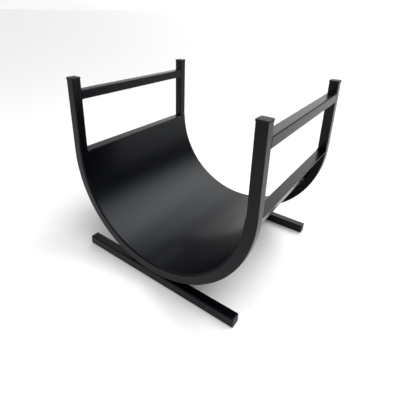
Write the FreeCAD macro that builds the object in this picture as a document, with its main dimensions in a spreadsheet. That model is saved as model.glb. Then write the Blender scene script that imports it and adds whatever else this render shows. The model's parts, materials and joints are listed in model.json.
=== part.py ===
import FreeCAD, Part
import enum
import math
import os

import Sketcher

# Log holder: two bent square-tube frames on straight feet, two side rails and a
# rolled sheet-metal trough that hangs in the frames and carries the logs.
# Millimetres. X is the width, Y the depth (the front is -Y), Z is up. The origin
# is on the floor, under the middle of the holder.

# Driving sizes. Each is written once, here, and goes into the document's sheet.
SIZES = {
    # Square tube, the same for frames, rails and feet
    "tube_side": 20.0,
    "tube_wall": 1.5,
    "tube_bore_corner": 1.0,
    # Bent frames: outer width, depth over both frames, straight uprights above the bend
    "frame_width": 440.0,
    "frame_depth": 368.0,
    "upright_length": 152.0,
    # Side rails: from the top of the uprights down to the top of the rails
    "rail_drop": 23.0,
    # Feet: length over both end caps
    "foot_length": 390.0,
    # Trough: sheet, gap under it, top of its flanges below the start of the frames'
    # bend, inner radius of the folds, gap between the flanges' ends and the frames
    "sheet_thickness": 1.5,
    "trough_seat_gap": 0.3,
    "flange_drop": 4.0,
    "fold_radius": 2.0,
    "flange_end_gap": 1.0,
    # Moulded end caps: heads, their bevelled rims, and the ribbed plugs in the tubes
    "upright_cap_head": 4.0,
    "upright_cap_lip": 0.75,
    "foot_cap_head": 3.0,
    "cap_rim_bevel": 1.0,
    "plug_length": 14.0,
    "plug_corner": 1.5,
    "rib_clearance": 0.15,
    "rib_depth": 2.35,
    "rib_thickness": 1.2,
    # Welds: fillets above and below the rails' ends, wedges between the bends
    # and the feet, stitches under the trough along the frames
    "rail_weld_leg": 3.0,
    "foot_weld_start": 10.0,
    "foot_weld_length": 16.0,
    "stitch_leg": 4.0,
    "stitch_bite": 1.5,
    "stitch_length": 20.0,
}
# Counts and angles, which don't scale with the lengths. A round corner is drawn with
# a few flats, which on a tube's outside stay within 0.05 mm of the true round.
OUTSIDE_FLAT_COUNT = 4
INSIDE_FLAT_COUNT = 1
RIB_COUNT = 3
STITCH_COUNT = 5
STITCH_SPREAD = 120.0


class Measure:
    """A measure of the model: its value, to draw with, and the formula that ties it to the sheet."""

    def __init__(self, value, formula):
        self.value = value
        self.formula = formula

    def __add__(self, other):
        return Measure(self.value + value_of(other), f"({self.formula} + {formula_of(other)})")

    def __sub__(self, other):
        return Measure(self.value - value_of(other), f"({self.formula} - {formula_of(other)})")

    def __mul__(self, other):
        return Measure(self.value * value_of(other), f"({self.formula} * {formula_of(other)})")

    def __truediv__(self, other):
        return Measure(self.value / value_of(other), f"({self.formula} / {formula_of(other)})")

    def __rmul__(self, factor):
        return self * factor

    def __neg__(self):
        return self * -1

    def root(self):
        return Measure(math.sqrt(self.value), f"sqrt({self.formula})")


def value_of(size):
    return size.value if isinstance(size, Measure) else size


def formula_of(size):
    return size.formula if isinstance(size, Measure) else str(size)


class Spot(enum.IntEnum):
    """The numbers by which a sketch knows the points of a piece."""

    START = 1
    END = 2
    CENTRE = 3


class Axis(enum.IntEnum):
    """The numbers by which a sketch knows its own axes, which start at its origin."""

    HORIZONTAL = -1
    VERTICAL = -2


class Sheet:
    """The document's spreadsheet, which gives each driving size as a measure."""

    def __init__(self, document):
        self.cells = document.addObject("Spreadsheet::Sheet", "sizes")
        for row, (name, value) in enumerate(SIZES.items(), start=1):
            self.cells.set(f"A{row}", name)
            self.cells.set(f"B{row}", str(value))
            self.cells.setAlias(f"B{row}", name)
            setattr(self, name, Measure(value, f"sizes.{name}"))


doc = FreeCAD.newDocument("log_holder")
size = Sheet(doc)
doc.recompute()

# Places and sizes that follow from the driving sizes
tube_corner = size.tube_bore_corner + size.tube_wall
bore_side = size.tube_side - 2 * size.tube_wall
flat_width = size.tube_side - 2 * tube_corner
half_width = size.frame_width / 2
tube_x = half_width - size.tube_side / 2
tube_y = size.frame_depth / 2 - size.tube_side / 2
bend_radius = tube_x
bend_height = size.tube_side + half_width
upright_top = bend_height + size.upright_length
frame_gap = size.frame_depth - 2 * size.tube_side
rail_z = upright_top - size.rail_drop - size.tube_side / 2
foot_end = size.foot_length / 2 - size.foot_cap_head

# The trough's faces, and its fold: the fold's centre lies outside the trough, where the
# flange's flat begins, and the fold leaves the rolled sheet on the line through both centres
trough_outer = half_width - size.tube_side - size.trough_seat_gap
trough_inner = trough_outer - size.sheet_thickness
flange_top = bend_height - size.flange_drop
flange_under = flange_top - size.sheet_thickness
fold_outer = size.fold_radius + size.sheet_thickness
fold_z = flange_top - fold_outer
fold_reach = trough_outer + size.fold_radius
fold_fall = (bend_height - fold_z) / fold_reach
fold_run = (Measure(1, "1") - fold_fall * fold_fall).root()
fold_x = fold_reach * fold_run
fold_degrees = math.degrees(math.asin(fold_fall.value))

Y_AXIS = FreeCAD.Vector(0, 1, 0)
Z_AXIS = FreeCAD.Vector(0, 0, 1)
START, END, CENTRE = Spot
ORIGIN = (Axis.HORIZONTAL, START)

sub_parts = []


def new_body(name, x=0, y=0, z=0, rotation=None):
    """A sub-part that stands at the place given by three measures."""
    body = doc.addObject("PartDesign::Body", name)
    body.Label = name
    body.AllowCompound = True
    if rotation is not None:
        body.Placement = FreeCAD.Placement(FreeCAD.Vector(), rotation)
    for axis, place in (("x", x), ("y", y), ("z", z)):
        bind(body, f"Placement.Base.{axis}", place)
    sub_parts.append(body)
    return body


def bind(thing, name, measure):
    thing.setExpression(name, formula_of(measure))


def origin_feature(body, role):
    for feature in body.Origin.OriginFeatures:
        if feature.Role == role:
            return feature
    raise ValueError(f"{body.Name} has no origin feature {role}")


def sketch_on(body, plane, name, x=0, z=0):
    """A sketch on one of the body's planes, moved along its own x and out of the plane."""
    sketch = body.newObject("Sketcher::SketchObject", f"{body.Name}_{name}")
    sketch.AttachmentSupport = [(origin_feature(body, plane), "")]
    sketch.MapMode = "FlatFace"
    bind(sketch, "AttachmentOffset.Base.x", x)
    bind(sketch, "AttachmentOffset.Base.z", z)
    return sketch


def point(x, y):
    return FreeCAD.Vector(value_of(x), value_of(y), 0)


def line(start, end):
    return Part.LineSegment(start, end)


def arc(centre, radius, start_degrees, end_degrees):
    circle = Part.Circle(centre, Z_AXIS, value_of(radius))
    return Part.ArcOfCircle(circle, math.radians(start_degrees), math.radians(end_degrees))


def draw(sketch, pieces, smooth=(), closed=True):
    """Add pieces that follow one another, joined at their ends, tangent after those in smooth."""
    indices = [sketch.addGeometry(piece, False) for piece in pieces]
    followers = indices[1:] + indices[:1]
    joints = list(zip(indices, followers))
    if not closed:
        joints.pop()
    for number, (one, two) in enumerate(joints):
        kind = "Tangent" if number in smooth else "Coincident"
        one_end, two_end = meeting_ends(sketch, one, two)
        constrain(sketch, kind, one, one_end, two, two_end)
    return indices


def meeting_ends(sketch, one, two):
    def distance(ends):
        return sketch.getPoint(one, ends[0]).distanceToPoint(sketch.getPoint(two, ends[1]))

    return min([(START, START), (START, END), (END, START), (END, END)], key=distance)


def constrain(sketch, kind, *where):
    sketch.addConstraint(Sketcher.Constraint(kind, *where))


def dimension(sketch, kind, where, measure):
    index = sketch.addConstraint(Sketcher.Constraint(kind, *where, measure.value))
    bind(sketch, f"Constraints[{index}]", measure)


def hold(sketch, piece, end, x=None, y=None):
    """Hold a point of a piece at measured distances from the sketch's origin."""
    if x is not None:
        dimension(sketch, "DistanceX", (*ORIGIN, piece, end), x)
    if y is not None:
        dimension(sketch, "DistanceY", (*ORIGIN, piece, end), y)


def draw_square(sketch, side, corner, flats):
    """A square about the sketch's origin, whose round corners are drawn with a few flats each."""
    inset = side / 2 - corner
    places = []
    for quarter, (sign_x, sign_y) in enumerate(((1, -1), (1, 1), (-1, 1), (-1, -1))):
        for step in range(flats + 1):
            turn = math.radians(90 * (quarter - 1 + step / flats))
            ahead, up = round(math.cos(turn), 9), round(math.sin(turn), 9)
            places.append((sign_x * inset + corner * ahead, sign_y * inset + corner * up))
    corners = [point(x, y) for x, y in places]
    edges = [line(one, two) for one, two in zip(corners, corners[1:] + corners[:1])]
    for edge, (x, y) in zip(draw(sketch, edges), places):
        hold(sketch, edge, START, x=x, y=y)


def draw_tube_section(sketch):
    draw_square(sketch, size.tube_side, tube_corner, OUTSIDE_FLAT_COUNT)
    draw_square(sketch, bore_side, size.tube_bore_corner, INSIDE_FLAT_COUNT)


def pad(body, sketch, name, length, symmetric=False, reverse=False):
    feature = body.newObject("PartDesign::Pad", f"{body.Name}_{name}")
    feature.Profile = (sketch, [""])
    bind(feature, "Length", length)
    if symmetric:
        feature.SideType = "Symmetric"
    feature.Reversed = reverse
    return feature


def mirror(body, feature, plane, name):
    mirrored = body.newObject("PartDesign::Mirrored", f"{body.Name}_{name}")
    mirrored.Originals = [feature]
    mirrored.MirrorPlane = (origin_feature(body, plane), [""])
    body.Tip = mirrored


# Frames: one square tube each, bent to a half circle between two straight uprights
def make_frame(name, y):
    body = new_body(name, y=y)
    path = sketch_on(body, "XZ_Plane", "path")
    left, bend, right = draw(path, [
        line(point(-bend_radius, upright_top), point(-bend_radius, bend_height)),
        arc(point(0, bend_height), bend_radius, 180, 360),
        line(point(bend_radius, bend_height), point(bend_radius, upright_top)),
    ], smooth=(0, 1), closed=False)
    constrain(path, "Vertical", left)
    constrain(path, "Vertical", right)
    constrain(path, "PointOnObject", bend, CENTRE, Axis.VERTICAL)
    hold(path, bend, CENTRE, y=bend_height)
    dimension(path, "Radius", (bend,), bend_radius)
    hold(path, left, START, y=upright_top)
    hold(path, right, END, y=upright_top)

    section = sketch_on(body, "XY_Plane", "section", x=-bend_radius, z=upright_top)
    draw_tube_section(section)
    tube = body.newObject("PartDesign::AdditivePipe", f"{name}_tube")
    tube.Profile = section
    tube.Spine = (path, [])


# Rails and feet: straight tubes about their own middle
def make_straight_tube(name, plane, length, **place):
    body = new_body(name, **place)
    section = sketch_on(body, plane, "section")
    draw_tube_section(section)
    pad(body, section, "tube", length, symmetric=True)


# Trough: the rolled sheet up to its folds, the flanges folded outwards between the
# frames, and the ears that run on up inside the frames
def make_trough():
    body = new_body("log_trough")
    rolled = sketch_on(body, "XZ_Plane", "rolled_section")
    draw_rolled_sheet(rolled)
    pad(body, rolled, "rolled_sheet", size.frame_depth, symmetric=True)

    folded = sketch_on(body, "XZ_Plane", "flange_section")
    for side in (1, -1):
        draw_flange(folded, side)
    pad(body, folded, "flanges", frame_gap - 2 * size.flange_end_gap, symmetric=True)

    # Drawn on the front frame's inner side and padded forwards, then mirrored to the rear
    inside_frame = sketch_on(body, "XZ_Plane", "ear_section", z=frame_gap / 2)
    for side in (1, -1):
        draw_ear(inside_frame, side)
    front_ears = pad(body, inside_frame, "front_ears", size.tube_side)
    mirror(body, front_ears, "XZ_Plane", "rear_ears")


def fold_joint(radius):
    """Where the fold leaves the rolled sheet, on the face of this radius."""
    return radius * fold_run, bend_height - radius * fold_fall


def hold_on_bend(sketch, outer, inner):
    """Keep the sheet's two faces about the bend's centre."""
    constrain(sketch, "PointOnObject", outer, CENTRE, Axis.VERTICAL)
    hold(sketch, outer, CENTRE, y=bend_height)
    constrain(sketch, "Coincident", outer, CENTRE, inner, CENTRE)
    dimension(sketch, "Radius", (outer,), trough_outer)
    dimension(sketch, "Radius", (inner,), trough_inner)


def draw_rolled_sheet(sketch):
    centre = point(0, bend_height)
    turn = (180 + fold_degrees, 360 - fold_degrees)
    outer_x, outer_z = fold_joint(trough_outer)
    inner_x, inner_z = fold_joint(trough_inner)
    outer, _, inner, _ = draw(sketch, [
        arc(centre, trough_outer, *turn),
        line(point(outer_x, outer_z), point(inner_x, inner_z)),
        arc(centre, trough_inner, *turn),
        line(point(-inner_x, inner_z), point(-outer_x, outer_z)),
    ])
    hold_on_bend(sketch, outer, inner)
    for end in (START, END):
        hold(sketch, outer, end, y=outer_z)
        hold(sketch, inner, end, y=inner_z)


def draw_flange(sketch, side):
    """The fold and its flange, at the right for side 1 and at the left for side -1."""
    outer_x, outer_z = fold_joint(trough_outer)
    inner_x, inner_z = fold_joint(trough_inner)
    centre = point(side * fold_x, fold_z)
    turn = (90, 180 - fold_degrees) if side > 0 else (fold_degrees, 90)
    joint, inside, under, edge, top, outside = draw(sketch, [
        line(point(side * inner_x, inner_z), point(side * outer_x, outer_z)),
        arc(centre, size.fold_radius, *turn),
        line(point(side * fold_x, flange_under), point(side * half_width, flange_under)),
        line(point(side * half_width, flange_under), point(side * half_width, flange_top)),
        line(point(side * half_width, flange_top), point(side * fold_x, flange_top)),
        arc(centre, fold_outer, *turn),
    ], smooth=(1, 4))
    constrain(sketch, "Coincident", inside, CENTRE, outside, CENTRE)
    constrain(sketch, "Horizontal", under)
    constrain(sketch, "Vertical", edge)
    constrain(sketch, "Horizontal", top)
    dimension(sketch, "Radius", (inside,), size.fold_radius)
    dimension(sketch, "Radius", (outside,), fold_outer)
    hold(sketch, inside, CENTRE, x=side * fold_x, y=fold_z)
    hold(sketch, edge, START, x=side * half_width)
    hold(sketch, joint, START, y=inner_z)
    hold(sketch, joint, END, y=outer_z)


def draw_ear(sketch, side):
    """The rolled sheet's last stretch inside a frame, up to the height of the flanges."""
    outer_x, outer_z = fold_joint(trough_outer)
    inner_x, inner_z = fold_joint(trough_inner)

    def ear_arc(radius):
        top_degrees = math.degrees(math.asin(size.flange_drop.value / radius.value))
        turn = (-fold_degrees, -top_degrees) if side > 0 else (180 + top_degrees, 180 + fold_degrees)
        return arc(point(0, bend_height), radius, *turn)

    def ear_top(radius):
        return point(side * math.sqrt(radius.value ** 2 - size.flange_drop.value ** 2), flange_top)

    joint, outer, top, inner = draw(sketch, [
        line(point(side * inner_x, inner_z), point(side * outer_x, outer_z)),
        ear_arc(trough_outer),
        line(ear_top(trough_outer), ear_top(trough_inner)),
        ear_arc(trough_inner),
    ])
    hold_on_bend(sketch, outer, inner)
    constrain(sketch, "Horizontal", top)
    hold(sketch, top, START, y=flange_top)
    hold(sketch, joint, START, y=inner_z)
    hold(sketch, joint, END, y=outer_z)


# End caps: a square head on the tube's end and a ribbed plug inside the tube
def make_cap(name, head, lip, rotation=None, **place):
    """A cap whose seat is at its own z = 0, with its head above and its plug below."""
    body = new_body(name, rotation=rotation, **place)
    outline = sketch_on(body, "XY_Plane", "head_outline")
    draw_square(outline, size.tube_side + 2 * lip, tube_corner + lip, OUTSIDE_FLAT_COUNT)
    pad(body, outline, "head", head)

    rib_side = bore_side - 2 * size.rib_clearance
    core = sketch_on(body, "XY_Plane", "core_outline")
    draw_square(core, rib_side - 2 * size.rib_depth, size.plug_corner, INSIDE_FLAT_COUNT)
    pad(body, core, "core", size.plug_length, reverse=True)

    # The ribs divide the plug evenly, each with its middle on its mark
    rib_pitch = size.plug_length / (RIB_COUNT + 1)
    rib = sketch_on(body, "XY_Plane", "rib_outline", z=size.rib_thickness / 2 - rib_pitch)
    draw_square(rib, rib_side, size.tube_bore_corner, INSIDE_FLAT_COUNT)
    first_rib = pad(body, rib, "first_rib", size.rib_thickness, reverse=True)
    ribs = body.newObject("PartDesign::LinearPattern", f"{name}_ribs")
    ribs.Originals = [first_rib]
    ribs.Direction = (origin_feature(body, "Z_Axis"), [""])
    ribs.Reversed = True
    ribs.Occurrences = RIB_COUNT
    bind(ribs, "Length", (RIB_COUNT - 1) * rib_pitch)
    body.Tip = ribs
    doc.recompute()

    # The rim is made of the edges that lie in the head's outer face
    face_level = head.value - size.cap_rim_bevel.value / 2
    rim = [
        f"Edge{number}" for number, edge in enumerate(ribs.Shape.Edges, start=1)
        if min(vertex.Z for vertex in edge.Vertexes) > face_level
    ]
    bevel = body.newObject("PartDesign::Chamfer", f"{name}_rim")
    bevel.Base = (ribs, rim)
    bind(bevel, "Size", size.cap_rim_bevel)
    body.Tip = bevel


# Welds above and below a rail's end, in the corner with the upright
def make_rail_welds(name, rotation, **place):
    body = new_body(name, rotation=rotation, **place)
    rail_face = size.tube_side / 2
    bead_top = rail_face + size.rail_weld_leg
    section = sketch_on(body, "YZ_Plane", "bead_section")
    on_rail, bevel, on_upright = draw(section, [
        line(point(0, rail_face), point(size.rail_weld_leg, rail_face)),
        line(point(size.rail_weld_leg, rail_face), point(0, bead_top)),
        line(point(0, bead_top), point(0, rail_face)),
    ])
    constrain(section, "Horizontal", on_rail)
    constrain(section, "Vertical", on_upright)
    constrain(section, "PointOnObject", on_rail, START, Axis.VERTICAL)
    hold(section, bevel, START, x=size.rail_weld_leg, y=rail_face)
    hold(section, bevel, END, y=bead_top)
    upper = pad(body, section, "upper_bead", flat_width, symmetric=True)
    mirror(body, upper, "XY_Plane", "lower_bead")


# Welds that fill the thin gap between a bend and its foot, on both sides of their contact
def make_foot_welds(name, y):
    body = new_body(name, y=y, z=size.tube_side)
    section = sketch_on(body, "XZ_Plane", "wedge_section")
    thin = size.foot_weld_start
    thick = thin + size.foot_weld_length

    def gap(x):
        return half_width.value - math.sqrt(half_width.value ** 2 - x.value ** 2)

    def turn(x):
        return 270 + math.degrees(math.asin(x.value / half_width.value))

    on_foot, thick_end, on_bend, thin_end = draw(section, [
        line(point(thin, 0), point(thick, 0)),
        line(point(thick, 0), point(thick, gap(thick))),
        arc(point(0, half_width), half_width, turn(thin), turn(thick)),
        line(point(thin, gap(thin)), point(thin, 0)),
    ])
    for end in (START, END):
        constrain(section, "PointOnObject", on_foot, end, Axis.HORIZONTAL)
    constrain(section, "Vertical", thick_end)
    constrain(section, "Vertical", thin_end)
    constrain(section, "PointOnObject", on_bend, CENTRE, Axis.VERTICAL)
    hold(section, on_bend, CENTRE, y=half_width)
    dimension(section, "Radius", (on_bend,), half_width)
    hold(section, on_foot, START, x=thin)
    hold(section, on_foot, END, x=thick)
    right = pad(body, section, "right_wedge", flat_width, symmetric=True)
    mirror(body, right, "YZ_Plane", "left_wedge")


# Stitches under the trough, in the groove between the rolled sheet and a frame's inner side
def make_trough_welds(name, rotation, y):
    body = new_body(name, rotation=rotation, y=y, z=bend_height)
    toe = trough_outer + size.trough_seat_gap + tube_corner + size.stitch_bite
    section = sketch_on(body, "YZ_Plane", "stitch_section")
    on_sheet, bevel, on_frame = draw(section, [
        line(point(0, -trough_outer), point(size.stitch_leg, -trough_outer)),
        line(point(size.stitch_leg, -trough_outer), point(0, -toe)),
        line(point(0, -toe), point(0, -trough_outer)),
    ])
    constrain(section, "Horizontal", on_sheet)
    constrain(section, "Vertical", on_frame)
    constrain(section, "PointOnObject", on_sheet, START, Axis.VERTICAL)
    hold(section, bevel, START, x=size.stitch_leg, y=-trough_outer)
    hold(section, bevel, END, y=-toe)
    stitch = body.newObject("PartDesign::Revolution", f"{name}_first_stitch")
    stitch.Profile = (section, [""])
    stitch.ReferenceAxis = (origin_feature(body, "Y_Axis"), [""])
    stitch.Midplane = True
    bind(stitch, "Angle", math.degrees(1) * size.stitch_length / trough_outer)
    stitches = body.newObject("PartDesign::PolarPattern", f"{name}_stitches")
    stitches.Originals = [stitch]
    stitches.Axis = (origin_feature(body, "Y_Axis"), [""])
    stitches.Angle = STITCH_SPREAD
    stitches.Occurrences = STITCH_COUNT
    body.Tip = stitches


def check_objects():
    """Stop on a failed object, which a recompute alone doesn't report."""
    for thing in doc.Objects:
        if "Invalid" in thing.State or "Error" in thing.State:
            raise RuntimeError(f"{thing.Name} failed: {thing.State}")
    for body in sub_parts:
        if body.Shape.isNull() or not body.Shape.isValid():
            raise RuntimeError(f"{body.Label} has no valid shape")


ENDS = (("front", -1), ("rear", 1))
SIDES = (("left", -1), ("right", 1))

for end, sign_y in ENDS:
    make_frame(f"{end}_frame", y=sign_y * tube_y)
    make_straight_tube(f"{end}_foot", "YZ_Plane", 2 * foot_end, y=sign_y * tube_y, z=size.tube_side / 2)
for side, sign_x in SIDES:
    make_straight_tube(f"{side}_side_rail", "XZ_Plane", frame_gap, x=sign_x * tube_x, z=rail_z)
make_trough()

for end, sign_y in ENDS:
    for side, sign_x in SIDES:
        make_cap(
            f"{end}_{side}_upright_cap", size.upright_cap_head, size.upright_cap_lip,
            x=sign_x * tube_x, y=sign_y * tube_y, z=upright_top)
        outwards = FreeCAD.Rotation(Y_AXIS, sign_x * 90)
        make_cap(
            f"{end}_{side}_foot_cap", size.foot_cap_head, 0, outwards,
            x=sign_x * foot_end, y=sign_y * tube_y, z=size.tube_side / 2)

for end, sign_y in ENDS:
    # Welds are drawn for the front frame, with the holder's inside towards +Y
    inwards = FreeCAD.Rotation(Z_AXIS, 0 if sign_y < 0 else 180)
    frame_face = sign_y * frame_gap / 2
    for side, sign_x in SIDES:
        make_rail_welds(f"{end}_{side}_rail_welds", inwards, x=sign_x * tube_x, y=frame_face, z=rail_z)
    make_foot_welds(f"{end}_foot_welds", y=sign_y * tube_y)
    # The pattern starts at one end of its spread, so half the spread is turned back
    first_stitch = FreeCAD.Rotation(Y_AXIS, -STITCH_SPREAD / 2)
    make_trough_welds(f"{end}_trough_welds", inwards.multiply(first_stitch), y=frame_face)

doc.recompute()
check_objects()
os.makedirs("parts", exist_ok=True)
for body in sub_parts:
    body.Shape.exportStep(f"parts/{body.Label}.step")
    print(f"{body.Label}: {len(body.Shape.Solids)} solid(s), {body.Shape.Volume:.1f} mm3")
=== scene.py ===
import json
import math

import bmesh
import bpy
from mathutils import Matrix, Vector


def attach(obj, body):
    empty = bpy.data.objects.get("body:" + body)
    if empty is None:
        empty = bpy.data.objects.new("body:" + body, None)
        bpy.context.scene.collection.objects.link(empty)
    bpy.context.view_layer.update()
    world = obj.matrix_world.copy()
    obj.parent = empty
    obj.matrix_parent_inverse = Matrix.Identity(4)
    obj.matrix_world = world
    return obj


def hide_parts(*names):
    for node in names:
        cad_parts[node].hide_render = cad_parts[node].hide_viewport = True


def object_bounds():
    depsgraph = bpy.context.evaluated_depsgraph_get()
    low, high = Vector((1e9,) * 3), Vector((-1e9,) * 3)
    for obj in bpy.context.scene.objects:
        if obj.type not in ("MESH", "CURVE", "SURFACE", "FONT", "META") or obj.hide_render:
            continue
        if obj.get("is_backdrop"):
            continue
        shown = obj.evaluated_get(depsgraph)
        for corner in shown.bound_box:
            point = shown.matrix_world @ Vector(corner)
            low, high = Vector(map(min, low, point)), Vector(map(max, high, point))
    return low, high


# Log holder in black powder-coated steel, on a pale floor in soft studio light.
# Blender works in metres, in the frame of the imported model: X to the right, Y to the
# rear, Z up. The holder's sizes are written in millimetres here, as in its source.

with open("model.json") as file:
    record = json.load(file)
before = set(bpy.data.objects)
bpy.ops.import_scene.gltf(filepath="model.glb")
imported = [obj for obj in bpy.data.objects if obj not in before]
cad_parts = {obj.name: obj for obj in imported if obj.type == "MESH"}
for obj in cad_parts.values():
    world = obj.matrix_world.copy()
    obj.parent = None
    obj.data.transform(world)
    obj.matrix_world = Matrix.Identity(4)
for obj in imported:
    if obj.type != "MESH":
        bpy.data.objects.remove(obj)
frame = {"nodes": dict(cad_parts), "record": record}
cad_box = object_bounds()
MILLIMETRE = 0.001

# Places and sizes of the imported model, in millimetres
TUBE_SIDE = 20.0
TUBE_CORNER = 2.5
UPRIGHT_X = 210.0
UPRIGHT_TOP = 392.0
FRAME_Y = 174.0
INNER_FACE_Y = FRAME_Y - TUBE_SIDE / 2
RAIL_Z = 359.0
FOOT_END = 192.0
BEND_OUTER = UPRIGHT_X + TUBE_SIDE / 2
BEND_Z = TUBE_SIDE + BEND_OUTER
SHEET_THICKNESS = 1.5
TROUGH_OUTER = 199.7
TROUGH_INNER = TROUGH_OUTER - SHEET_THICKNESS
FLANGE_DROP = 4.0
FLANGE_TOP = BEND_Z - FLANGE_DROP
FLANGE_HALF_LENGTH = INNER_FACE_Y - 1.0
FOLD_INSIDE = 2.0


# Node materials
class Shading:
    """A material's node tree, with short ways to add nodes and join them."""

    # Blender's noise lies mostly between these
    NOISE_LOW = 0.3
    NOISE_HIGH = 0.7

    def __init__(self, name):
        self.material = bpy.data.materials.new(name)
        self.material.use_nodes = True
        self.tree = self.material.node_tree
        self.surface = self.tree.nodes["Principled BSDF"]
        self.place = self.tree.nodes.new("ShaderNodeTexCoord").outputs["Object"]

    def set(self, **values):
        """Set the shader's own sockets."""
        for name, value in values.items():
            self.surface.inputs[name.replace("_", " ")].default_value = value

    def feed(self, name, output):
        """Feed one of the shader's sockets from a node."""
        self.tree.links.new(output, self.surface.inputs[name])

    def noise(self, size, detail=2.0):
        """Noise whose blotches are about as large as size, in millimetres."""
        mapping = self.tree.nodes.new("ShaderNodeMapping")
        mapping.inputs["Scale"].default_value = [1 / (size * MILLIMETRE)] * 3
        self.tree.links.new(self.place, mapping.inputs["Vector"])
        noise = self.tree.nodes.new("ShaderNodeTexNoise")
        noise.inputs["Scale"].default_value = 1.0
        noise.inputs["Detail"].default_value = detail
        self.tree.links.new(mapping.outputs["Vector"], noise.inputs["Vector"])
        return noise.outputs["Fac"]

    def spread(self, noise, low, high):
        """The noise, stretched over a range."""
        node = self.tree.nodes.new("ShaderNodeMapRange")
        node.inputs["From Min"].default_value = self.NOISE_LOW
        node.inputs["From Max"].default_value = self.NOISE_HIGH
        node.inputs["To Min"].default_value = low
        node.inputs["To Max"].default_value = high
        self.tree.links.new(noise, node.inputs["Value"])
        return node.outputs["Result"]

    def between(self, noise, dark, light):
        """A colour that wanders between two with the noise."""
        node = self.tree.nodes.new("ShaderNodeMix")
        node.data_type = "RGBA"
        self.tree.links.new(self.spread(noise, 0.0, 1.0), node.inputs["Factor"])
        node.inputs["A"].default_value = (*dark, 1)
        node.inputs["B"].default_value = (*light, 1)
        return node.outputs["Result"]

    def bump(self, height, depth, under=None):
        """A bump of this depth in millimetres, on top of an earlier one."""
        node = self.tree.nodes.new("ShaderNodeBump")
        node.inputs["Distance"].default_value = depth * MILLIMETRE
        self.tree.links.new(height, node.inputs["Height"])
        if under is not None:
            self.tree.links.new(under, node.inputs["Normal"])
        return node.outputs["Normal"]


def powder_coat(name, gloss=(0.24, 0.27), peel_depth=0.004):
    """Satin black powder coat: blue-black, with orange peel and a fine grain."""
    shading = Shading(name)
    shading.set(IOR=1.27, Specular_Tint=(0.90, 0.96, 1.0, 1))
    shading.feed("Base Color", shading.between(
        shading.noise(size=40, detail=3.0),
        dark=(0.0006, 0.0008, 0.0018), light=(0.0011, 0.0013, 0.0026)))
    shading.feed("Roughness", shading.spread(shading.noise(size=9, detail=4.0), *gloss))
    peel = shading.bump(shading.noise(size=1.6), peel_depth)
    shading.feed("Normal", shading.bump(shading.noise(size=0.25), depth=0.0015, under=peel))
    return shading.material


def moulded_plastic(name):
    """Black plastic with a fine moulded grain, duller than the powder coat."""
    shading = Shading(name)
    shading.set(IOR=1.26)
    shading.feed("Base Color", shading.between(
        shading.noise(size=12), dark=(0.004, 0.004, 0.005), light=(0.006, 0.006, 0.007)))
    shading.feed("Roughness", shading.spread(shading.noise(size=1.5), 0.42, 0.50))
    shading.feed("Normal", shading.bump(shading.noise(size=0.35, detail=3.0), depth=0.01))
    return shading.material


FINISHES = {
    "frame_steel": powder_coat("satin_coat_on_tube"),
    "trough_steel": powder_coat("satin_coat_on_sheet"),
    "weld_steel": powder_coat("satin_coat_on_welds", gloss=(0.25, 0.30), peel_depth=0.008),
    "cap_plastic": moulded_plastic("moulded_cap_plastic"),
}

SHEET_SHARP_DEGREES = 35
MOULDED_SHARP_DEGREES = 50


def smooth_corners(piece, sharp_degrees):
    """Shade the flats of round corners as one round, and keep the broad faces flat."""
    mesh = piece.data
    mesh.shade_smooth()
    mesh.set_sharp_from_angle(angle=math.radians(sharp_degrees))
    weighted = piece.modifiers.new("broad_faces_stay_flat", "WEIGHTED_NORMAL")
    weighted.keep_sharp = True
    weighted.weight = 100


def dress_frame_nodes():
    """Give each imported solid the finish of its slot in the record."""
    for subpart in frame["record"]["subparts"]:
        node = frame["nodes"][subpart["node"]]
        node.data.materials.clear()
        node.data.materials.append(FINISHES[subpart["material_slot"]])
        smooth_corners(node, SHEET_SHARP_DEGREES)


dress_frame_nodes()


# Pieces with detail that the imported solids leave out. Each stands for one node.
class Skin:
    """A closed mesh in the making: points in millimetres, and faces over them."""

    def __init__(self):
        self.points = []
        self.faces = []

    def add_rings(self, rings):
        """Join closed rings of points one after another, and close both ends."""
        first = len(self.points)
        count = len(rings[0])
        for ring in rings:
            self.points.extend(ring)
        for row in range(len(rings) - 1):
            for step in range(count):
                here, there = row * count + step, row * count + (step + 1) % count
                self.faces.append([first + n for n in (here, there, there + count, here + count)])
        self.faces.append([first + n for n in reversed(range(count))])
        self.faces.append([first + (len(rings) - 1) * count + n for n in range(count)])

    def build(self, node, slot, sharp_degrees=MOULDED_SHARP_DEGREES, cut_edge=0.0):
        """A piece that stands for the node, in the finish of the slot."""
        mesh = bpy.data.meshes.new(f"{node}_detail")
        mesh.from_pydata([Vector(point) * MILLIMETRE for point in self.points], [], self.faces)
        mesh.materials.append(FINISHES[slot])
        finish_mesh(mesh, cut_edge)
        piece = bpy.data.objects.new(f"{node}_detail", mesh)
        bpy.context.scene.collection.objects.link(piece)
        smooth_corners(piece, sharp_degrees)
        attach(piece, "root")
        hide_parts(node)


SQUARE_EDGE_DEGREES = 60


def finish_mesh(mesh, cut_edge):
    """Point the faces outwards and, where a width is given, soften the square edges."""
    working = bmesh.new()
    working.from_mesh(mesh)
    bmesh.ops.recalc_face_normals(working, faces=working.faces)
    if cut_edge:
        least_angle = math.radians(SQUARE_EDGE_DEGREES)
        square_edges = [edge for edge in working.edges if edge.calc_face_angle(0) > least_angle]
        bmesh.ops.bevel(
            working, geom=square_edges, affect="EDGES", offset=cut_edge * MILLIMETRE,
            segments=2, profile=0.5, clamp_overlap=True)
    working.to_mesh(mesh)
    working.free()


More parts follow.
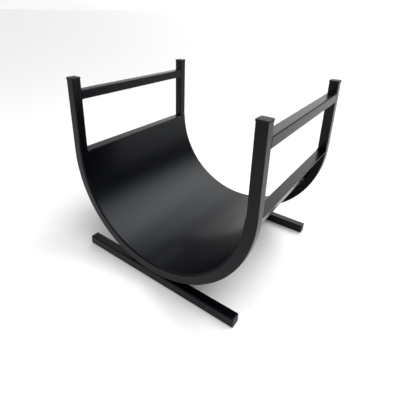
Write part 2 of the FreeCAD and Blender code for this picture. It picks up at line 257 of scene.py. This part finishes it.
# Trough: one bent sheet whose ends stop short of the frames' faces, with soft cut edges
TROUGH_HALF_LENGTH = 181.8
FOLD_OUTSIDE = FOLD_INSIDE + SHEET_THICKNESS
FOLD_Z = FLANGE_TOP - FOLD_OUTSIDE
FOLD_DEGREES = math.degrees(math.asin((BEND_Z - FOLD_Z) / (TROUGH_OUTER + FOLD_INSIDE)))
FOLD_X = (TROUGH_OUTER + FOLD_INSIDE) * math.cos(math.radians(FOLD_DEGREES))
ROLL_STEPS = 144
FOLD_STEPS = 8
CUT_EDGE = 0.25


class Plate:
    """A thick sheet over a grid of columns and rows.

    A column is a pair of points in the XZ section, on the sheet's two faces. A row is a
    place in Y. A cell lies between two columns and two rows.
    """

    def __init__(self, rows):
        self.rows = rows
        self.columns = []
        self.cells = []

    def bend(self, centre, face_radii, start, end, steps):
        """Columns round a centre, from a start angle to an end angle in degrees."""
        first = len(self.columns)
        for step in range(steps + 1):
            turn = math.radians(start + (end - start) * step / steps)
            self.columns.append([
                (centre[0] + radius * math.cos(turn), centre[1] + radius * math.sin(turn))
                for radius in face_radii])
        return list(range(first, len(self.columns)))

    def edge(self, *points):
        """One column at a cut edge."""
        self.columns.append(points)
        return [len(self.columns) - 1]

    def cover(self, columns, first_y, last_y):
        """Lay the sheet over these columns, from one row to another."""
        for row in range(self.rows.index(first_y), self.rows.index(last_y)):
            self.cells += [(left, right, row) for left, right in zip(columns, columns[1:])]

    def skin(self):
        """Both faces of each cell, and a wall wherever the sheet ends."""
        skin = Skin()
        numbers = {}

        def number(column, row, face):
            """The number of a point, which is added at its first use."""
            if (column, row, face) not in numbers:
                x, z = self.columns[column][face]
                numbers[column, row, face] = len(skin.points)
                skin.points.append((x, self.rows[row], z))
            return numbers[column, row, face]

        sides = {}
        for left, right, row in self.cells:
            corners = [(left, row), (right, row), (right, row + 1), (left, row + 1)]
            for face in (0, 1):
                skin.faces.append([number(*corner, face) for corner in corners])
            for side in zip(corners, corners[1:] + corners[:1]):
                sides.setdefault(frozenset(side), []).append(side)
        for uses in sides.values():
            if len(uses) == 1:
                start, end = uses[0]
                skin.faces.append([
                    number(*start, 0), number(*end, 0), number(*end, 1), number(*start, 1)])
        return skin


def make_trough(node):
    ends, flange_ends = TROUGH_HALF_LENGTH, FLANGE_HALF_LENGTH
    plate = Plate([-ends, -INNER_FACE_Y, -flange_ends, flange_ends, INNER_FACE_Y, ends])
    radii = (TROUGH_INNER, TROUGH_OUTER)
    roll = plate.bend((0, BEND_Z), radii, -FOLD_DEGREES, FOLD_DEGREES - 180, ROLL_STEPS)
    plate.cover(roll, -ends, ends)
    for side, joint in ((1, roll[0]), (-1, roll[-1])):
        towards_roll = 90 + side * (90 - FOLD_DEGREES)
        fold = plate.bend(
            (side * FOLD_X, FOLD_Z), (FOLD_OUTSIDE, FOLD_INSIDE), towards_roll, 90, FOLD_STEPS)
        rim_x = side * BEND_OUTER
        rim = plate.edge((rim_x, FLANGE_TOP), (rim_x, FLANGE_TOP - SHEET_THICKNESS))
        plate.cover([joint] + fold[1:] + rim, -flange_ends, flange_ends)
        ear_x = [side * math.sqrt(radius ** 2 - FLANGE_DROP ** 2) for radius in radii]
        ear = plate.edge(*[(x, FLANGE_TOP) for x in ear_x])
        plate.cover([joint] + ear, -ends, -INNER_FACE_Y)
        plate.cover([joint] + ear, INNER_FACE_Y, ends)
    plate.skin().build(node, "trough_steel", SHEET_SHARP_DEGREES, cut_edge=CUT_EDGE)


# End caps: a head with a soft rim and a slight crown, and the ribbed plug behind it
CAP_RIM = 1.0
CAP_RIM_STEPS = 4
CAP_CROWN = 0.2
CAP_CROWN_SHARES = (0.75, 0.5, 0.25, 0.08)
CAP_UNDERSIDE_BEVEL = 0.15
PLUG_LENGTH = 14.0
PLUG_CORE = 12.0
PLUG_CORE_CORNER = 1.5
PLUG_TIP_BEVEL = 0.5
RIB_SIDE = 16.7
RIB_CORNER = 1.0
RIB_THICKNESS = 1.2
RIB_BEVEL = 0.1
RIB_COUNT = 3
CORNER_STEPS = 6


def rounded_square(side, corner):
    """Points round a square with round corners, about the origin."""
    inset = side / 2 - corner
    points = []
    for quarter, (sign_a, sign_b) in enumerate(((1, -1), (1, 1), (-1, 1), (-1, -1))):
        for step in range(CORNER_STEPS + 1):
            turn = math.radians(90 * (quarter - 1 + step / CORNER_STEPS))
            points.append((
                sign_a * inset + corner * math.cos(turn),
                sign_b * inset + corner * math.sin(turn)))
    return points


def plug_levels():
    """The plug's outlines from its tip to the head: (level, side, corner)."""
    core = (PLUG_CORE, PLUG_CORE_CORNER)
    crest = (RIB_SIDE, RIB_CORNER)
    crest_edge = (RIB_SIDE - 2 * RIB_BEVEL, RIB_CORNER)
    tip = (PLUG_CORE - 2 * PLUG_TIP_BEVEL, PLUG_CORE_CORNER - PLUG_TIP_BEVEL)
    levels = [(-PLUG_LENGTH, *tip), (PLUG_TIP_BEVEL - PLUG_LENGTH, *core)]
    for rib in range(RIB_COUNT, 0, -1):
        middle = -rib * PLUG_LENGTH / (RIB_COUNT + 1)
        below, above = middle - RIB_THICKNESS / 2, middle + RIB_THICKNESS / 2
        levels += [
            (below, *core), (below + RIB_BEVEL, *crest_edge), (below + 2 * RIB_BEVEL, *crest),
            (above - 2 * RIB_BEVEL, *crest), (above - RIB_BEVEL, *crest_edge), (above, *core),
        ]
    return levels + [(0, *core)]


def head_levels(head, side, corner):
    """The head's outlines from its underside to the middle of its face: (level, side, corner)."""
    bevel = CAP_UNDERSIDE_BEVEL
    levels = [(0, side - 2 * bevel, corner - bevel), (bevel, side, corner)]
    shoulder = head - CAP_RIM - CAP_CROWN
    for step in range(CAP_RIM_STEPS + 1):
        turn = math.radians(90 * step / CAP_RIM_STEPS)
        draw_in = CAP_RIM * (1 - math.cos(turn))
        levels.append((shoulder + CAP_RIM * math.sin(turn), side - 2 * draw_in, corner - draw_in))
    for share in CAP_CROWN_SHARES:
        level = head - CAP_CROWN * share ** 2
        levels.append((level, share * (side - 2 * CAP_RIM), share * (corner - CAP_RIM)))
    return levels


def make_cap(node, place, turn, head, lip):
    """A cap at the end of a tube. Its own Z points out of the tube before it is turned."""
    rings = []
    outlines = plug_levels() + head_levels(head, TUBE_SIDE + 2 * lip, TUBE_CORNER + lip)
    for level, side, corner in outlines:
        outline = rounded_square(side, corner)
        rings.append([turn @ Vector((a, b, level)) + Vector(place) for a, b in outline])
    skin = Skin()
    skin.add_rings(rings)
    skin.build(node, "cap_plastic")


# Weld beads: a low arch between two toes, laid in ripples, with rounded ends
RIPPLE_PITCH = 1.5
RIPPLE_HEIGHT = 0.16
RIPPLE_MIDDLE = 0.6
RIPPLE_LAG = 1.4
STEPS_PER_RIPPLE = 8
BEAD_ARCH = 0.6
BEAD_STEPS = 8
BEAD_TAPER = 2.5
BEAD_END_SIZE = 0.3
TOE_RIPPLE = 0.35
HALF_DIAGONAL = 0.707


def dome(share):
    """The height of a half circle, from 0 at its edge to 1 at its middle and 0 again at 2."""
    return math.sqrt(max(0.0, 1 - (1 - share) ** 2))


def belly(share):
    """A flat arch over the shares from 0 to 1, which rises to 1 in the middle."""
    return 4 * share * (1 - share)


def ripple(run):
    """The height of overlapping ripples, from 0 in a valley to 1 on a crest, by the run."""
    return dome(2 * (run / RIPPLE_PITCH % 1))


def bead_runs(length):
    """Places along a bead, a few for each ripple."""
    stations = int(length / RIPPLE_PITCH * STEPS_PER_RIPPLE)
    return [length * station / stations for station in range(stations + 1)]


def bead_rings(length, toe_a, toe_b, place_of):
    """Rings along a bead. place_of(run, a, b) gives a point by its distances along both legs."""
    rings = []
    for run in bead_runs(length):
        from_end = min(run, length - run, BEAD_TAPER) / BEAD_TAPER
        body = BEAD_END_SIZE + (1 - BEAD_END_SIZE) * dome(from_end)
        ring = [place_of(run, 0, 0)]
        for step in range(BEAD_STEPS + 1):
            share = step / BEAD_STEPS
            arch = belly(share)
            wave = RIPPLE_HEIGHT * (ripple(run + RIPPLE_LAG * arch) - RIPPLE_MIDDLE)
            wave *= TOE_RIPPLE + (1 - TOE_RIPPLE) * arch
            out = HALF_DIAGONAL * (BEAD_ARCH * arch + wave) * body
            leg_a = toe_a * (1 - share) * body + out
            leg_b = toe_b * share * body + out
            ring.append(place_of(run, max(leg_a, 0), max(leg_b, 0)))
        rings.append(ring)
    return rings


RAIL_WELD_TOE = 2.6


def make_rail_welds(node, sign_x, sign_y):
    """Two beads in the corners above and below a rail's end."""
    skin = Skin()
    length = TUBE_SIDE - 2 * TUBE_CORNER
    start = sign_x * UPRIGHT_X - length / 2
    for sign_z in (1, -1):
        def place_of(run, along_rail, along_upright):
            return (
                start + run,
                sign_y * (INNER_FACE_Y - along_rail),
                RAIL_Z + sign_z * (TUBE_SIDE / 2 + along_upright))

        skin.add_rings(bead_rings(length, RAIL_WELD_TOE, RAIL_WELD_TOE, place_of))
    skin.build(node, "weld_steel")


STITCH_COUNT = 5
STITCH_SPREAD = 120.0
STITCH_LENGTH = 20.0
STITCH_TOE_ON_SHEET = 3.5
STITCH_TOE_ON_FRAME = 3.8


def make_trough_welds(node, sign_y):
    """Stitches in the groove between the trough's underside and the frame's inner side."""
    skin = Skin()
    for stitch in range(STITCH_COUNT):
        middle = math.radians(STITCH_SPREAD * (stitch / (STITCH_COUNT - 1) - 0.5))

        def place_of(run, along_sheet, along_frame):
            turn = middle + (run - STITCH_LENGTH / 2) / TROUGH_OUTER
            radius = TROUGH_OUTER + along_frame
            return (
                radius * math.sin(turn),
                sign_y * (INNER_FACE_Y - along_sheet),
                BEND_Z - radius * math.cos(turn))

        skin.add_rings(bead_rings(
            STITCH_LENGTH, STITCH_TOE_ON_SHEET, STITCH_TOE_ON_FRAME, place_of))
    skin.build(node, "weld_steel")


FOOT_WELD_START = 10.0
FOOT_WELD_LENGTH = 16.0
FOOT_WELD_SWELL = 0.45
FOOT_WELD_LEVELS = (0.0, 0.2, 0.5, 0.8, 1.0)


def make_foot_welds(node, sign_y):
    """Wedges between the bend and the foot, with rippled sides that swell into the groove."""
    skin = Skin()
    half_width = TUBE_SIDE / 2 - TUBE_CORNER
    up_and_down = ((-1, FOOT_WELD_LEVELS), (1, FOOT_WELD_LEVELS[::-1]))
    for side in (1, -1):
        rings = []
        for run in bead_runs(FOOT_WELD_LENGTH):
            x = FOOT_WELD_START + run
            gap = BEND_OUTER - math.sqrt(BEND_OUTER ** 2 - x ** 2)
            swell = FOOT_WELD_SWELL + RIPPLE_HEIGHT * ripple(run)
            rings.append([
                (side * x,
                 sign_y * FRAME_Y + y_side * (half_width + swell * belly(level)),
                 TUBE_SIDE + gap * level)
                for y_side, levels in up_and_down for level in levels])
        skin.add_rings(rings)
    skin.build(node, "weld_steel")


def make_detail():
    """Every piece that stands for a node."""
    upwards = Matrix.Identity(3)
    make_trough("log_trough")
    for end, sign_y in (("front", -1), ("rear", 1)):
        for side, sign_x in (("left", -1), ("right", 1)):
            outwards = Matrix.Rotation(sign_x * math.radians(90), 3, "Y")
            make_cap(
                f"{end}_{side}_upright_cap",
                (sign_x * UPRIGHT_X, sign_y * FRAME_Y, UPRIGHT_TOP), upwards, head=4.0, lip=0.75)
            make_cap(
                f"{end}_{side}_foot_cap",
                (sign_x * FOOT_END, sign_y * FRAME_Y, TUBE_SIDE / 2), outwards, head=3.0, lip=0.0)
            make_rail_welds(f"{end}_{side}_rail_welds", sign_x, sign_y)
        make_foot_welds(f"{end}_foot_welds", sign_y)
        make_trough_welds(f"{end}_trough_welds", sign_y)


make_detail()

# Stage: a pale floor that runs out of sight
FLOOR_HALF_SIDE = 30.0


def make_floor():
    mesh = bpy.data.meshes.new("floor")
    signs = ((-1, -1), (1, -1), (1, 1), (-1, 1))
    corners = [(x * FLOOR_HALF_SIDE, y * FLOOR_HALF_SIDE, 0) for x, y in signs]
    mesh.from_pydata(corners, [], [(0, 1, 2, 3)])
    floor = bpy.data.objects.new("floor", mesh)
    bpy.context.scene.collection.objects.link(floor)
    shading = Shading("pale_floor")
    shading.set(Base_Color=(0.90, 0.90, 0.90, 1), Roughness=0.55)
    mesh.materials.append(shading.material)
    floor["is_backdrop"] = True


# Light: a dim room with a pale horizon and soft bright patches, and one softbox
ROOM_DIM = 0.15
HORIZON = 0.8
HORIZON_TOP = 16
# Azimuth, elevation, outer and inner half-angle in degrees, and strength
GLOWS = (
    (140, 52, 30, 6, 4.0),
    (160, 38, 26, 5, 0.5),
    (172, 46, 30, 6, 1.3),
    (186, 40, 26, 5, 1.15),
    (204, 32, 30, 6, 0.95),
    (205, 8, 26, 6, 0.6),
    (224, 18, 22, 5, 0.35),
    (240, 32, 22, 5, 0.3),
    (300, 50, 30, 8, 1.0),
)


def toward(azimuth, elevation):
    """The direction of a light: azimuth 0 is the front, 90 the right, in degrees."""
    turn, rise = math.radians(azimuth), math.radians(elevation)
    level = math.cos(rise)
    return Vector((math.sin(turn) * level, -math.cos(turn) * level, math.sin(rise)))


def make_world():
    """The room, by the direction of a look: the horizon fades upwards, and glows fade all round."""
    world = bpy.data.worlds.new("studio")
    world.use_nodes = True
    tree = world.node_tree
    sky = tree.nodes["Background"]
    sky.inputs["Color"].default_value = (1, 1, 1, 1)
    direction = tree.nodes.new("ShaderNodeTexCoord").outputs["Generated"]

    def fade(middle, start, full, strength):
        """Light round a direction: none at cosine start, all of it at cosine full."""
        facing = tree.nodes.new("ShaderNodeVectorMath")
        facing.operation = "DOT_PRODUCT"
        facing.inputs[1].default_value = middle
        tree.links.new(direction, facing.inputs[0])
        patch = tree.nodes.new("ShaderNodeMapRange")
        patch.interpolation_type = "SMOOTHSTEP"
        patch.inputs["From Min"].default_value = start
        patch.inputs["From Max"].default_value = full
        patch.inputs["To Max"].default_value = strength
        tree.links.new(facing.outputs["Value"], patch.inputs["Value"])
        return patch.outputs["Result"]

    def add_up(parts):
        """The dim room's light with all the parts on top."""
        total = None
        for part in parts:
            adding = tree.nodes.new("ShaderNodeMath")
            adding.operation = "ADD"
            if total is None:
                adding.inputs[0].default_value = ROOM_DIM
            else:
                tree.links.new(total, adding.inputs[0])
            tree.links.new(part, adding.inputs[1])
            total = adding.outputs["Value"]
        return total

    parts = [fade((0, 0, -1), -math.sin(math.radians(HORIZON_TOP)), 0, HORIZON)]
    for azimuth, elevation, outer, inner, strength in GLOWS:
        outer, inner = math.radians(outer), math.radians(inner)
        parts.append(fade(toward(azimuth, elevation), math.cos(outer), math.cos(inner), strength))
    tree.links.new(add_up(parts), sky.inputs["Strength"])
    bpy.context.scene.world = world


LIT_SPOT = Vector((0, 0, 0.15))


def add_softbox(name, azimuth, elevation, distance, width, height, brightness):
    """A soft rectangle of light that faces the holder, in metres. Brightness 1 looks white."""
    light = bpy.data.lights.new(name, "AREA")
    light.shape = "RECTANGLE"
    light.size = width
    light.size_y = height
    light.energy = math.pi * width * height * brightness
    lamp = bpy.data.objects.new(name, light)
    facing = toward(azimuth, elevation)
    lamp.location = LIT_SPOT + distance * facing
    lamp.rotation_euler = (-facing).to_track_quat("-Z", "Y").to_euler()
    bpy.context.scene.collection.objects.link(lamp)


make_floor()
make_world()
add_softbox("fill", azimuth=60, elevation=60, distance=1.6, width=1.0, height=0.8, brightness=6.4)


# Camera, solved from the photograph's edges with the holder's own sizes
CAMERA_PLACE = (0.3849, -0.5806, 0.5317)
CAMERA_YAW = 35.261
CAMERA_PITCH = 22.318
CAMERA_ROLL = 1.52
PHOTO_SIDE = 400
FOCAL_PIXELS = 335.99
PRINCIPAL_PIXEL = (196.14, 145.21)
SENSOR_WIDTH = 36.0


def make_camera():
    yaw, pitch, roll = (math.radians(angle) for angle in (CAMERA_YAW, CAMERA_PITCH, CAMERA_ROLL))
    level = math.cos(pitch)
    forward = Vector((-math.sin(yaw) * level, math.cos(yaw) * level, -math.sin(pitch)))
    level_right = forward.cross(Vector((0, 0, 1))).normalized()
    level_up = level_right.cross(forward)
    right = math.cos(roll) * level_right + math.sin(roll) * level_up
    up = math.cos(roll) * level_up - math.sin(roll) * level_right
    turn = Matrix((right, up, -forward)).transposed()

    lens = bpy.data.cameras.new("camera")
    lens.sensor_width = SENSOR_WIDTH
    lens.lens = FOCAL_PIXELS * SENSOR_WIDTH / PHOTO_SIDE
    lens.shift_x = 0.5 - PRINCIPAL_PIXEL[0] / PHOTO_SIDE
    lens.shift_y = PRINCIPAL_PIXEL[1] / PHOTO_SIDE - 0.5
    lens.clip_start = 0.01
    lens.clip_end = 100
    camera = bpy.data.objects.new("camera", lens)
    camera.matrix_world = Matrix.Translation(CAMERA_PLACE) @ turn.to_4x4()
    bpy.context.scene.collection.objects.link(camera)
    bpy.context.scene.camera = camera


make_camera()
bpy.context.scene.view_settings.view_transform = "Standard"


def write_sizes():
    """The model's box as packed, and the box of what is shown."""
    boxes = {"cad": cad_box, "visual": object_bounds()}
    rows = {name: [list(corner) for corner in box] for name, box in boxes.items()}


write_sizes()
